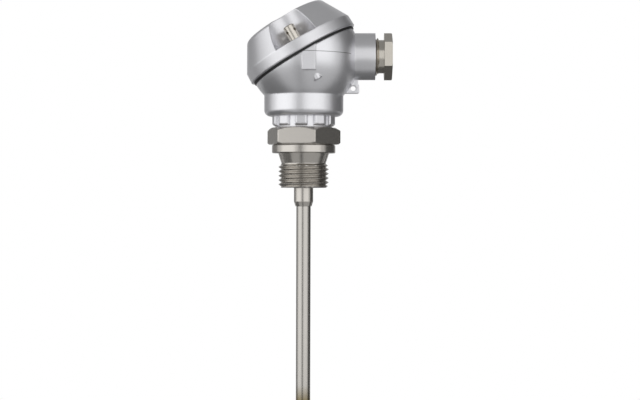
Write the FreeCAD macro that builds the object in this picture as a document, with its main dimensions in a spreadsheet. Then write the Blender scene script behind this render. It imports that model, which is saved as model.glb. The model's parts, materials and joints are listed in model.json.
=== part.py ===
"""Screw-in resistance thermometer with a slanted-lid connection head.

Lengths are millimetres and angles degrees. The origin is where the stem's axis meets the sealing face of
the fitting's collar. +Z runs up the stem to the head, +X out of the cable entry, and -Y to the front.
"""

import FreeCAD, Part
import Sketcher
import math
import os

SIZES = (
    # Stem and its sensor
    ("stem_length", 103.5, "sealing face to the stem's tip"),
    ("tube_radius", 3.0, "outside of the stem's tube"),
    ("tube_wall", 0.75, "wall of the stem's tube"),
    ("tip_height", 2.0, "welded tip below the end of the tube"),
    ("tip_edge", 0.5, "rounding of the tip's edge"),
    ("tip_spigot", 2.0, "tip inside the tube"),
    ("tip_slack", 0.05, "radial gap between the tip's spigot and the tube"),
    ("insert_radius", 1.5, "sealed sensor rod"),
    ("insert_end_gap", 0.2, "sensor rod's lower end above the tip's spigot"),
    # Process fitting
    ("tube_slack", 0.05, "radial gap between the stem and the fitting's bore"),
    ("weld_height", 2.0, "weld between the spigot and the stem"),
    ("weld_foot", 0.35, "weld's width on the stem"),
    ("spigot_radius", 4.0, "short thick stretch under the thread"),
    ("spigot_end", 20.1, "sealing face to the spigot's lower edge"),
    ("thread_radius", 10.4775, "major radius of the G1/2 parallel thread"),
    ("thread_top", 4.4, "sealing face to the thread's first turn"),
    ("thread_end", 14.4, "sealing face to the thread's last turn"),
    ("thread_chamfer", 1.1, "thread's chamfer at both ends"),
    ("relief_foot", 9.25, "small radius of the conical relief"),
    ("relief_head", 10.6, "large radius of the conical relief"),
    ("relief_land", 0.2, "plain stretch between the relief and the thread"),
    ("collar_radius", 13.2, "sealing collar"),
    ("collar_height", 3.3, "sealing collar"),
    ("collar_edge", 0.25, "chamfer of the collar's edges"),
    ("collar_groove", 0.3, "turned groove between the collar and the hexagon"),
    ("collar_groove_depth", 0.6, "turned groove between the collar and the hexagon"),
    ("hexagon_across", 27.0, "fitting's spanner size"),
    ("hexagon_height", 6.85, "fitting's hexagon"),
    ("hexagon_turn", 18.85, "hexagon's corner from the front towards the cable entry"),
    ("hexagon_face", 13.4, "circle where the hexagon's top chamfer starts"),
    ("hexagon_foot", 14.6, "circle where the hexagon's bottom chamfer starts"),
    ("chamfer_slope", 30.0, "hexagon chamfers, from the flat face"),
    ("nipple_radius", 8.0, "major radius of the thread that holds the head"),
    ("nipple_gap", 0.3, "nipple's end under the housing's floor"),
    ("thread_slack", 0.08, "radial gap of the threads that stay done up"),
    # Head housing
    ("head_height", 40.3, "sealing face to the middle of the lid's parting plane"),
    ("lid_tilt", 30.0, "parting plane's slope, high at the cable entry"),
    ("bowl_radius", 23.2, "outside of the spherical bowl"),
    ("bowl_wall", 2.4, "wall of the bowl and of the base"),
    ("base_radius", 16.45, "round base under the bowl"),
    ("base_bottom", 15.3, "sealing face to the underside of the base"),
    ("base_edge", 2.5, "rounding of the base's lower edge"),
    ("base_floor", 2.8, "thickness of the floor inside"),
    ("neck_radius", 11.8, "neck between the ribs"),
    ("rib_count", 10, "ribs round the neck"),
    ("rib_radius", 13.0, "outside of the ribs"),
    ("rib_width", 5.0, "one rib across"),
    ("rib_corner", 0.8, "rounding of a rib's upright edges"),
    ("rib_lift", 0.8, "ribs' lower ends above the hexagon"),
    ("rib_chamfer", 0.6, "slope at the ribs' lower ends"),
    ("rib_turn", -3.0, "first rib from the front towards the cable entry"),
    ("entry_drop", 0.15, "middle of the parting plane to the cable entry's axis"),
    ("entry_radius", 9.7, "outside of the cable boss"),
    ("entry_reach", 29.6, "stem's axis to the end of the cable boss"),
    ("entry_collar", 1.0, "cable boss inside the bowl"),
    ("entry_depth", 8.1, "mouth of the cable boss to the shoulder that the gland seal rests on"),
    ("entry_edge", 0.4, "chamfer at the mouth of the cable boss"),
    ("passage_radius", 5.4, "hole behind the gland seal"),
    ("boss_left", -0.1, "screw boss's upright face, lower side of the slope"),
    ("boss_right", 5.4, "screw boss's upright face, cable side"),
    ("boss_drop", 7.7, "middle of the parting plane to the boss's lower face"),
    ("boss_depth", 6.0, "screw boss from its front face into the bowl"),
    ("boss_proud", 0.25, "screw boss's front face outside the bowl"),
    ("boss_tip_radius", 1.7, "slanted end of the screw boss"),
    ("boss_tip_length", 12.8, "parting plane to the end of the screw boss"),
    ("lug_thickness", 2.6, "seal-wire eyelet"),
    ("lug_drop", 15.35, "cable entry's axis to the eyelet's underside"),
    ("lug_reach", 23.0, "stem's axis to the eyelet's outer edge"),
    ("lug_side", 3.1, "eyelet's outer edge"),
    ("lug_waist", 22.5, "stem's axis to the edge between eyelet and cable boss"),
    ("lug_corner", 0.8, "rounding of the eyelet's outer corners"),
    ("eyelet_radius", 1.1, "seal-wire hole"),
    ("eyelet_inset", 2.5, "hole's centre from the eyelet's outer edge"),
    ("eyelet_lift", 2.1, "hole's centre above the eyelet's underside"),
    # Lid, gasket and lid screws, measured from the parting plane along the lid's axis
    ("gasket_thickness", 0.9, "lid gasket"),
    ("gasket_proud", 0.35, "gasket's outer edge outside the bowl"),
    ("gasket_inset", 0.2, "gasket's inner edge from the bowl's inner edge"),
    ("gasket_lobe", 3.4, "gasket round a lid screw"),
    ("gasket_slack", 0.25, "radial gap between a lid screw and the gasket"),
    ("rim_proud", 0.95, "lid's rim outside the gasket"),
    ("rim_height", 5.1, "parting plane to the top of the rim"),
    ("rim_edge", 0.4, "chamfer at the foot of the rim"),
    ("rim_draft", 2.5, "rim's slope, wider at the foot"),
    ("lid_height", 16.8, "parting plane to the top of the lid"),
    ("lid_slope", 30.0, "lid's side, from its axis"),
    ("lid_edge", 2.6, "rounding of the lid's upper edge"),
    ("lid_wall", 2.2, "wall of the lid"),
    ("pocket_offset", 4.2, "lid screw to the centre of its pocket, outwards"),
    ("pocket_radius", 9.0, "screw pocket"),
    ("screw_inset", 4.2, "lid screw from the outside of the bowl"),
    ("screw_radius", 2.0, "lid screw's M4 thread"),
    ("screw_neck", 1.6, "lid screw's shank through the lid"),
    ("screw_depth", 7.4, "lid screw below the parting plane"),
    ("screw_head", 2.4, "lid screw's head, a radius"),
    ("screw_head_height", 6.5, "lid screw's head"),
    ("screw_edge", 0.35, "chamfer of the screw's head and end"),
    ("screw_slot", 0.9, "width of a lid screw's slot"),
    ("screw_slot_depth", 1.3, "depth of a lid screw's slot"),
    ("seal_hole", 0.65, "radius of the cross holes for the seal wire"),
    ("seal_hole_drop", 2.6, "cross holes below the top of the head"),
    ("screw_slack", 0.05, "radial gap between a lid screw and its ring"),
    ("screw_hole_slack", 0.25, "radial gap between a lid screw's shank and the lid"),
    ("screw_seat_gap", 0.05, "lid screw's head above the lid"),
    ("screw_hole_depth", 8.4, "tapped hole below the parting plane"),
    ("ring_lift", 0.15, "retaining ring above the gasket"),
    ("ring_height", 0.5, "retaining ring"),
    ("ring_width", 1.05, "retaining ring"),
    # Gland
    ("gland_thread", 8.0, "major radius of the gland's thread"),
    ("gland_gap_start", 1.5, "thread that shows outside the cable boss"),
    ("gland_neck", 6.9, "gland's turned neck"),
    ("gland_neck_length", 2.2, "gland's turned neck"),
    ("gland_across", 17.0, "gland's spanner size"),
    ("gland_hexagon", 3.3, "gland's hexagon"),
    ("gland_face", 9.4, "circle where the gland's outer chamfer starts"),
    ("gland_turn", -2.0, "gland's corner from the middle of its flats"),
    ("gland_bore", 4.6, "hole through the pressure screw"),
    ("gland_mouth", 0.6, "chamfer at the gland's mouth"),
    ("gland_slack", 0.08, "radial gap of the gland's thread"),
    ("seal_length", 4.0, "rubber gland seal"),
    ("seal_bore", 4.0, "hole through the gland seal"),
    ("seal_slack", 0.3, "radial gap round the seal and the washer"),
    ("washer_height", 0.8, "gland's thrust washer"),
    ("washer_bore", 5.0, "hole through the thrust washer"),
    ("washer_gap", 0.05, "gap on each side of the thrust washer"),
    # Neck seal
    ("neck_seal_width", 1.9, "flat ring under the neck"),
    ("neck_seal_height", 1.2, "flat ring under the neck"),
    # Measuring insert and terminal block
    ("flange_step", 0.5, "insert flange inside the block's edge"),
    ("flange_height", 1.0, "insert flange"),
    ("insert_slack", 0.05, "radial gap between the sensor rod and the parts on it"),
    ("cup_radius", 3.2, "potted lead cup"),
    ("cup_height", 3.8, "potted lead cup"),
    ("cup_roof", 1.0, "solid top of the lead cup"),
    ("block_slack", 0.5, "radial gap round the terminal block"),
    ("block_height", 8.5, "terminal block"),
    ("block_hole", 3.7, "hole for the leads in the middle of the block"),
    ("block_edge", 0.6, "chamfer of the block's upper edge"),
    ("partition_width", 1.2, "ribs between the terminals"),
    ("partition_height", 2.2, "ribs between the terminals"),
    ("partition_start", 4.7, "block's axis to a rib's inner end"),
    ("partition_end", 11.6, "block's axis to a rib's outer end"),
    ("fixing_circle", 10.4, "block's axis to a fixing screw"),
    ("fixing_radius", 1.5, "fixing screw's M3 thread"),
    ("fixing_head", 2.5, "fixing screw's head, a radius"),
    ("fixing_head_height", 2.0, "fixing screw's head"),
    ("fixing_recess", 2.8, "recess for a fixing screw, a radius"),
    ("fixing_recess_depth", 3.4, "recess for a fixing screw"),
    ("fixing_slack", 0.2, "radial gap between a fixing screw and what it passes"),
    ("fixing_bite", 2.2, "fixing screw in the housing's floor"),
    ("fixing_hole_rest", 0.2, "tapped hole past the screw's end"),
    ("lock_washer_height", 0.7, "lock washer under a fixing screw"),
    ("lock_washer_radius", 2.4, "outside of a lock washer"),
    ("terminal_x", 4.6, "block's axis to a terminal, towards the cable entry"),
    ("terminal_y", 7.4, "block's axis to a terminal, towards the front"),
    ("terminal_long", 5.0, "brass terminal along X"),
    ("terminal_wide", 4.6, "brass terminal along Y"),
    ("terminal_depth", 5.0, "brass terminal below the block's top"),
    ("terminal_proud", 0.4, "brass terminal above the block's top"),
    ("terminal_slack", 0.1, "gap between a terminal and its pocket"),
    ("terminal_screw", 1.5, "terminal screw's M3 thread"),
    ("terminal_screw_slack", 0.05, "radial gap round a terminal screw"),
    ("terminal_screw_length", 5.6, "terminal screw under its head"),
    ("terminal_head", 2.2, "terminal screw's head, a radius"),
    ("terminal_head_height", 1.6, "terminal screw's head"),
    ("terminal_slot", 0.6, "width of the small screws' slots"),
    ("terminal_slot_depth", 0.8, "depth of the small screws' slots"),
    ("saddle_side", 4.4, "square wire saddle"),
    ("saddle_height", 0.8, "wire saddle"),
    ("saddle_gap", 0.05, "saddle under the screw's head"),
    ("wire_radius", 0.17, "bare wire"),
    ("wire_gap", 0.4, "room for the bare wire under a saddle"),
    ("lead_radius", 0.45, "insulated lead"),
    ("lead_x", 1.6, "lead in the cup, towards the cable entry"),
    ("lead_y", 1.2, "lead in the cup, towards the front"),
    ("lead_turn", 78.6, "lead's way to its terminal, from the cable entry's direction"),
    ("lead_bend", 1.6, "lead's bend above the cup"),
    ("lead_reach", 3.6, "insulated lead, out to the end of its insulation"),
    ("wire_reach", 8.3, "bare wire, out to its end"),
)


class Size:
    """A number and the formula that ties it to the sheet."""

    def __init__(self, value, formula):
        self.value = value
        self.formula = formula

    def __add__(self, other):
        other = size_of(other)
        return Size(self.value + other.value, f"({self.formula} + {other.formula})")

    def __sub__(self, other):
        other = size_of(other)
        return Size(self.value - other.value, f"({self.formula} - {other.formula})")

    def __mul__(self, other):
        other = size_of(other)
        return Size(self.value * other.value, f"({self.formula} * {other.formula})")

    def __truediv__(self, other):
        other = size_of(other)
        return Size(self.value / other.value, f"({self.formula} / {other.formula})")

    def __neg__(self):
        return Size(-self.value, f"(0 - {self.formula})")


def size_of(number):
    """A plain number as a size, so that both can stand in a formula."""
    return number if isinstance(number, Size) else Size(number, f"({number})")


def root(square):
    return Size(math.sqrt(square.value), f"sqrt({square.formula})")


def sine(angle):
    return Size(math.sin(math.radians(angle.value)), f"sin({angle.formula} * 1 deg)")


def cosine(angle):
    return Size(math.cos(math.radians(angle.value)), f"cos({angle.formula} * 1 deg)")


def tangent(angle):
    return Size(math.tan(math.radians(angle.value)), f"tan({angle.formula} * 1 deg)")


class Sizes:
    """The driving sizes, each one a cell with an alias and an attribute of the same name."""

    def __init__(self, rows):
        self.sheet = doc.addObject("Spreadsheet::Sheet", "Sizes")
        for at, (name, value, meaning) in enumerate(rows, start=1):
            self.sheet.set(f"A{at}", name)
            self.sheet.set(f"B{at}", str(value))
            self.sheet.set(f"C{at}", meaning)
            self.sheet.setAlias(f"B{at}", name)
            setattr(self, name, Size(value, f"Sizes.{name}"))


class Arc:
    """The way between two corners of an outline, when it is round."""

    def __init__(self, radius, centre_x, centre_y):
        self.radius = radius
        self.centre = FreeCAD.Vector(size_of(centre_x).value, size_of(centre_y).value, 0)


def place(x, y, z, axis=(0, 0, 1), angle=0):
    """The formula of a placement."""
    x, y, z, angle = (size_of(value) for value in (x, y, z, angle))
    spot = f"vector({x.formula}; {y.formula}; {z.formula})"
    turn = f"rotation(vector({axis[0]}; {axis[1]}; {axis[2]}); {angle.formula})"
    return f"placement({spot}; {turn})"


def new_body(name):
    body = doc.addObject("PartDesign::Body", name)
    body.Label = name
    return body


def sketch_on(body, name, plane="XY_Plane", frame=None):
    """A sketch on one of the body's own planes, moved off it by a placement formula."""
    sketch = body.newObject("Sketcher::SketchObject", name)
    planes = {item.Role: item for item in body.Origin.OriginFeatures}
    sketch.AttachmentSupport = [(planes[plane], "")]
    sketch.MapMode = "FlatFace"
    if frame:
        sketch.setExpression("AttachmentOffset", frame)
    return sketch


def tie_point(sketch, edge, point, x, y):
    """Ties a point of an edge to its place, measured from the sketch's origin."""
    for kind, axis, place_on in (("DistanceX", -2, size_of(x)), ("DistanceY", -1, size_of(y))):
        if place_on.value == 0:
            sketch.addConstraint(Sketcher.Constraint("PointOnObject", edge, point, axis))
        elif place_on.value > 0:
            rule = Sketcher.Constraint(kind, -1, 1, edge, point, place_on.value)
            at = sketch.addConstraint(rule)
            sketch.setExpression(f"Constraints[{at}]", place_on.formula)
        else:
            rule = Sketcher.Constraint(kind, edge, point, -1, 1, -place_on.value)
            at = sketch.addConstraint(rule)
            sketch.setExpression(f"Constraints[{at}]", (-place_on).formula)


def tie_radius(sketch, edge, radius):
    at = sketch.addConstraint(Sketcher.Constraint("Radius", edge, radius.value))
    sketch.setExpression(f"Constraints[{at}]", radius.formula)


def draw_edge(sketch, start, end, arc):
    """Draws one line or arc and says which of its points lies at the start and at the end."""
    first = FreeCAD.Vector(start[0].value, start[1].value, 0)
    last = FreeCAD.Vector(end[0].value, end[1].value, 0)
    if arc is None:
        return sketch.addGeometry(Part.LineSegment(first, last)), 1, 2
    angles = [math.atan2(*reversed((point - arc.centre)[0:2])) for point in (first, last)]
    forward = (angles[1] - angles[0]) % (2 * math.pi) < math.pi
    circle = Part.Circle(arc.centre, FreeCAD.Vector(0, 0, 1), size_of(arc.radius).value)
    if not forward:
        angles.reverse()
    edge = sketch.addGeometry(Part.ArcOfCircle(circle, *angles))
    return (edge, 1, 2) if forward else (edge, 2, 1)


def draw_outline(sketch, steps):
    """Draws a closed outline of corners, with an Arc between two of them where the way is round."""
    corners = []
    arcs = {}
    for step in steps:
        if isinstance(step, Arc):
            arcs[len(corners) - 1] = step
        else:
            corners.append([size_of(value) for value in step])
    edges = []
    for at, start in enumerate(corners):
        end = corners[(at + 1) % len(corners)]
        edges.append(draw_edge(sketch, start, end, arcs.get(at)))
    for at, (edge, first, last) in enumerate(edges):
        before, _, before_last = edges[at - 1]
        sketch.addConstraint(Sketcher.Constraint("Coincident", before, before_last, edge, first))
        tie_point(sketch, edge, first, *corners[at])
    for at, arc in arcs.items():
        tie_radius(sketch, edges[at][0], size_of(arc.radius))


def draw_circle(sketch, x, y, radius):
    centre = FreeCAD.Vector(size_of(x).value, size_of(y).value, 0)
    circle = Part.Circle(centre, FreeCAD.Vector(0, 0, 1), radius.value)
    edge = sketch.addGeometry(circle)
    tie_point(sketch, edge, 3, x, y)
    tie_radius(sketch, edge, radius)


def box_outline(left, right, front, back):
    return ((left, front), (right, front), (right, back), (left, back))


def hexagon_outline(across, turn):
    """The corners of a hexagon whose first corner is turned from the -Y direction towards +X."""
    radius = across / 2 / cosine(size_of(30))
    for at in range(6):
        angle = turn + 60 * at
        yield radius * sine(angle), -(radius * cosine(angle))


def turned(body, name, steps, cut=False, frame=None):
    """A revolved form, or a revolved cut, about the body's Z axis."""
    sketch = sketch_on(body, f"{name}_outline", "XZ_Plane", frame)
    draw_outline(sketch, steps)
    kind = "PartDesign::Groove" if cut else "PartDesign::Revolution"
    feature = body.newObject(kind, name)
    feature.Profile = sketch
    feature.ReferenceAxis = (sketch, ["V_Axis"])
    feature.Angle = 360
    return feature


def pushed(body, name, sketch, length, cut=False, reverse=False, middle=False):
    """A pad, or a pocket. A pocket runs against the sketch's normal unless it is reversed."""
    feature = body.newObject("PartDesign::Pocket" if cut else "PartDesign::Pad", name)
    feature.Profile = sketch
    feature.Type = 0
    feature.Reversed = reverse
    feature.Midplane = middle
    feature.setExpression("Length", size_of(length).formula)
    return feature


def slot_across(body, name, top, width, depth, radius):
    """A screwdriver slot through a screw's head."""
    sketch = sketch_on(body, f"{name}_outline", frame=place(0, 0, top))
    draw_outline(sketch, box_outline(-radius, radius, -(width / 2), width / 2))
    pushed(body, name, sketch, depth, cut=True)


def hexagon_chamfer(body, name, face, start, across, up):
    """The turned chamfer that takes the corners off a hexagon's end."""
    far = across
    drop = (far - start) * tangent(s.chamfer_slope)
    steps = ((start, face), (far, face), (far, face - drop if up else face + drop))
    turned(body, name, steps, cut=True)


def head_housing():
    """The die-cast bowl with its base, ribbed neck, cable boss, screw bosses and eyelet."""
    body = new_body("head_housing")
    middle = s.head_height
    outer_join = middle - root(s.bowl_radius * s.bowl_radius - s.base_radius * s.base_radius)
    turned(body, "bowl", (
        (0, hexagon_top),
        (s.neck_radius, hexagon_top),
        (s.neck_radius, s.base_bottom),
        (s.base_radius - s.base_edge, s.base_bottom),
        Arc(s.base_edge, s.base_radius - s.base_edge, s.base_bottom + s.base_edge),
        (s.base_radius, s.base_bottom + s.base_edge),
        (s.base_radius, outer_join),
        Arc(s.bowl_radius, 0, middle),
        (0, middle + s.bowl_radius),
    ))
    inner_join = middle - root(bowl_inner * bowl_inner - base_inner * base_inner)
    turned(body, "hollow", (
        (0, floor_top),
        (base_inner, floor_top),
        (base_inner, inner_join),
        Arc(bowl_inner, 0, middle),
        (0, middle + bowl_inner),
    ), cut=True)
    neck_ribs(body)
    boss = sketch_on(body, "cable_boss_outline", "YZ_Plane", place(0, 0, entry_root))
    draw_circle(boss, 0, entry_height, s.entry_radius)
    pushed(body, "cable_boss", boss, s.entry_reach - entry_root)
    for name, side in SIDES:
        screw_boss(body, name, side)
    eyelet(body)
    above = sketch_on(body, "parting_outline", frame=lid_frame(0, 0, -(s.gasket_thickness / 2)))
    draw_circle(above, 0, 0, s.bowl_radius * 2)
    pushed(body, "parting_cut", above, s.bowl_radius * 2, cut=True, reverse=True)
    for name, side in SIDES:
        hole = sketch_on(body, f"tapped_hole_{name}_outline", frame=lid_frame(0, 0, 0))
        draw_circle(hole, 0, screw_circle * side, s.screw_radius + s.screw_slack)
        pushed(body, f"tapped_hole_{name}", hole, s.screw_hole_depth, cut=True)
    neck_bores(body)
    entry_bores(body)
    for name, side in (("left", -1), ("right", 1)):
        hole = sketch_on(body, f"fixing_hole_{name}_outline", frame=place(0, 0, floor_top))
        draw_circle(hole, s.fixing_circle * side, 0, s.fixing_radius + s.screw_slack)
        pushed(body, f"fixing_hole_{name}", hole, s.fixing_bite + s.fixing_hole_rest, cut=True)
    return body


def neck_ribs(body):
    """Upright ribs round the neck, sloped at their lower ends."""
    half = s.rib_width / 2
    flat = half - s.rib_corner
    face = s.rib_radius
    root_of_rib = s.neck_radius - s.rib_corner
    foot = hexagon_top + s.rib_lift
    frame = place(0, 0, foot, angle=s.rib_turn - 90)
    sketch = sketch_on(body, "rib_outline", frame=frame)
    draw_outline(sketch, (
        (root_of_rib, -half),
        (face - s.rib_corner, -half),
        Arc(s.rib_corner, face - s.rib_corner, -flat),
        (face, -flat),
        (face, flat),
        Arc(s.rib_corner, face - s.rib_corner, flat),
        (face - s.rib_corner, half),
        (root_of_rib, half),
    ))
    rib = pushed(body, "rib", sketch, s.base_bottom - foot + s.rib_corner)
    doc.recompute()
    pattern = body.newObject("PartDesign::PolarPattern", "ribs")
    pattern.Originals = [rib]
    pattern.Axis = (sketch, ["N_Axis"])
    pattern.Angle = 360
    pattern.setExpression("Occurrences", s.rib_count.formula)
    body.Tip = pattern
    turned(body, "rib_slope", (
        (face - s.rib_chamfer, foot),
        (face + s.rib_chamfer, foot),
        (face + s.rib_chamfer, foot + s.rib_chamfer * 2),
    ), cut=True)


def screw_boss(body, name, side):
    """The upright block in the bowl's wall round a lid screw, with the boss's slanted end below it."""
    block = sketch_on(body, f"boss_{name}_outline", frame=place(0, 0, s.head_height - s.boss_drop))
    face = s.bowl_radius + s.boss_proud
    near = (face - s.boss_depth) * side
    far = face * side
    draw_outline(block, box_outline(s.boss_left, s.boss_right, near, far))
    pushed(body, f"boss_{name}", block, s.boss_drop + s.boss_right)
    tip = sketch_on(body, f"boss_tip_{name}_outline", frame=lid_frame(0, 0, 0))
    draw_circle(tip, 0, screw_circle * side, s.boss_tip_radius)
    pushed(body, f"boss_tip_{name}", tip, s.boss_tip_length, reverse=True)


def eyelet(body):
    """The flat lug under the cable boss, with the hole for a seal wire."""
    sketch = sketch_on(body, "lug_outline", "XZ_Plane")
    foot = entry_height - s.lug_drop
    right = s.lug_reach
    corner = s.lug_corner
    top = entry_height - s.entry_radius + s.lug_corner
    mid_wall = s.bowl_radius - s.bowl_wall / 2
    drop = s.head_height - top
    draw_outline(sketch, (
        (s.base_radius - s.bowl_wall / 2, foot),
        (right - corner, foot),
        Arc(corner, right - corner, foot + corner),
        (right, foot + corner),
        (right, foot + s.lug_side),
        (s.lug_waist, foot + s.lug_side + corner),
        (s.lug_waist, top),
        (root(mid_wall * mid_wall - drop * drop), top),
    ))
    pushed(body, "lug", sketch, s.lug_thickness, middle=True)
    hole = sketch_on(body, "eyelet_outline", "XZ_Plane")
    draw_circle(hole, right - s.eyelet_inset, foot + s.eyelet_lift, s.eyelet_radius)
    pushed(body, "eyelet", hole, s.lug_thickness * 2, cut=True, middle=True)


def neck_bores(body):
    """The bore that screws onto the fitting's nipple, and the seal ring's recess."""
    bore = sketch_on(body, "neck_bore_outline", frame=place(0, 0, hexagon_top))
    draw_circle(bore, 0, 0, s.nipple_radius + s.thread_slack)
    pushed(body, "neck_bore", bore, floor_top - hexagon_top, cut=True, reverse=True)
    recess = sketch_on(body, "seal_recess_outline", frame=place(0, 0, hexagon_top))
    draw_circle(recess, 0, 0, s.nipple_radius + s.thread_slack * 2 + s.neck_seal_width)
    pushed(body, "seal_recess", recess, s.neck_seal_height, cut=True, reverse=True)


def entry_bores(body):
    """The gland's tapped bore, the passage behind it and the chamfer at its mouth."""
    mouth = sketch_on(body, "entry_bore_outline", "YZ_Plane", place(0, 0, s.entry_reach))
    draw_circle(mouth, 0, entry_height, s.gland_thread + s.gland_slack)
    pushed(body, "entry_bore", mouth, s.entry_depth, cut=True)
    chamfer = sketch_on(body, "mouth_outline", "YZ_Plane", place(0, 0, s.entry_reach))
    draw_circle(chamfer, 0, entry_height, s.gland_thread + s.gland_slack + s.entry_edge)
    cone = pushed(body, "mouth_chamfer", chamfer, s.entry_edge, cut=True)
    cone.TaperAngle = -45
    passage = sketch_on(body, "passage_outline", "YZ_Plane", place(0, 0, seal_seat))
    draw_circle(passage, 0, entry_height, s.passage_radius)
    pushed(body, "passage", passage, s.entry_depth, cut=True)


def lid_form(name, rim, foot, chamfer, shoulder, top, edge):
    """The lid's turned outline: upright rim, sloping side, rounded upper edge and flat top."""
    body = new_body(name)
    brow = rim - (shoulder - foot - chamfer) * tangent(s.rim_draft)
    top_radius = brow - (top - shoulder) * tangent(s.lid_slope)
    half_turn = (size_of(90) - s.lid_slope) / 2
    run = edge * tangent(half_turn)
    turned(body, f"{name}_turning", (
        (0, foot),
        (rim - chamfer, foot),
        (rim, foot + chamfer),
        (brow, shoulder),
        (top_radius + run * sine(s.lid_slope), top - run * cosine(s.lid_slope)),
        Arc(edge, top_radius - run, top - edge),
        (top_radius - run, top),
        (0, top),
    ))
    return body


def pocket_post(name, side, radius, foot):
    """An upright cylinder at a screw pocket, in the lid's own frame."""
    post = doc.addObject("Part::Cylinder", name)
    post.setExpression("Radius", radius.formula)
    post.setExpression("Height", s.lid_height.formula)
    post.setExpression("Placement", place(0, pocket_centre * side, foot))
    return post


def head_lid():
    """The hollow lid, with a screw pocket at the front and at the back."""
    foot = s.gasket_thickness / 2
    outside = lid_form(
        "lid_outside", rim_radius, foot, s.rim_edge, s.rim_height, s.lid_height, s.lid_edge)
    slant_wall = s.lid_wall / cosine(s.lid_slope)
    bend = s.lid_wall * tangent((size_of(90) - s.lid_slope) / 2)
    inside = lid_form(
        "lid_inside", rim_radius - s.lid_wall, size_of(0), s.rim_edge, s.rim_height - slant_wall + bend,
        s.lid_height - s.lid_wall, s.lid_edge - s.lid_wall)
    floor_bottom = s.rim_height - s.lid_wall
    walls = [
        pocket_post(f"pocket_wall_{name}", side, s.pocket_radius + s.lid_wall, floor_bottom)
        for name, side in SIDES]
    pockets = [
        pocket_post(f"pocket_{name}", side, s.pocket_radius, s.rim_height) for name, side in SIDES]
    holes = []
    for name, side in SIDES:
        hole = doc.addObject("Part::Cylinder", f"lid_hole_{name}")
        hole.setExpression("Radius", (s.screw_neck + s.screw_hole_slack).formula)
        hole.setExpression("Height", s.rim_height.formula)
        hole.setExpression("Placement", place(0, screw_circle * side, foot))
        holes.append(hole)
    hollow = doc.addObject("Part::MultiFuse", "lid_posts")
    hollow.Shapes = walls
    room = doc.addObject("Part::Cut", "lid_room")
    room.Base = inside
    room.Tool = hollow
    cuts = doc.addObject("Part::MultiFuse", "lid_cuts")
    cuts.Shapes = pockets + holes
    shell = doc.addObject("Part::Cut", "lid_shell")
    shell.Base = outside
    shell.Tool = room
    lid = doc.addObject("Part::Cut", "head_lid")
    lid.Base = shell
    lid.Tool = cuts
    lid.Label = "head_lid"
    lid.setExpression("Placement", lid_frame(0, 0, 0))
    return lid


def lid_gasket():
    """The flat ring between bowl and lid, with a lobe round each lid screw."""
    body = new_body("lid_gasket")
    ring = sketch_on(body, "gasket_outline")
    draw_circle(ring, 0, 0, gasket_radius)
    draw_circle(ring, 0, 0, bowl_inner + s.gasket_inset)
    pushed(body, "gasket_ring", ring, s.gasket_thickness, middle=True)
    for name, side in SIDES:
        lobe = sketch_on(body, f"lobe_{name}_outline")
        draw_circle(lobe, 0, screw_circle * side, s.gasket_lobe)
        pushed(body, f"lobe_{name}", lobe, s.gasket_thickness, middle=True)
    for name, side in SIDES:
        hole = sketch_on(body, f"gasket_hole_{name}_outline")
        draw_circle(hole, 0, screw_circle * side, s.screw_radius + s.gasket_slack)
        pushed(body, f"gasket_hole_{name}", hole, s.gasket_thickness * 2, cut=True, middle=True)
    body.setExpression("Placement", lid_frame(0, 0, 0))
    return body


def lid_screw(name, side):
    """A slotted screw with a tall head, cross-drilled for a seal wire."""
    body = new_body(f"lid_screw_{name}")
    edge = s.screw_edge
    seat = s.rim_height + s.screw_seat_gap
    top = seat + s.screw_head_height
    turned(body, f"screw_{name}_turning", (
        (0, -s.screw_depth),
        (s.screw_radius - edge, -s.screw_depth),
        (s.screw_radius, edge - s.screw_depth),
        (s.screw_radius, ring_foot),
        (s.screw_neck, ring_foot),
        (s.screw_neck, seat),
        (s.screw_head, seat),
        (s.screw_head, top - edge),
        (s.screw_head - edge, top),
        (0, top),
    ))
    slot_across(
        body, f"slot_{name}", top, s.screw_slot, s.screw_slot_depth, s.screw_head + edge)
    for at, turn in enumerate((45, 135)):
        sketch = sketch_on(body, f"seal_hole_{name}_{at}_outline", "XZ_Plane")
        sketch.setExpression("AttachmentOffset", place(0, 0, 0, (0, 1, 0), turn))
        draw_circle(sketch, 0, top - s.seal_hole_drop, s.seal_hole)
        pushed(body, f"seal_hole_{name}_{at}", sketch, s.screw_head * 3, cut=True, middle=True)
    body.setExpression("Placement", lid_frame(0, screw_circle * side, 0))
    return body


def flat_ring(name, inner, outer, foot, height, frame):
    """A washer, ring or bush."""
    body = new_body(name)
    turned(body, f"{name}_turning", (
        (inner, foot),
        (outer, foot),
        (outer, foot + height),
        (inner, foot + height),
    ))
    body.setExpression("Placement", frame)
    return body


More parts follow.
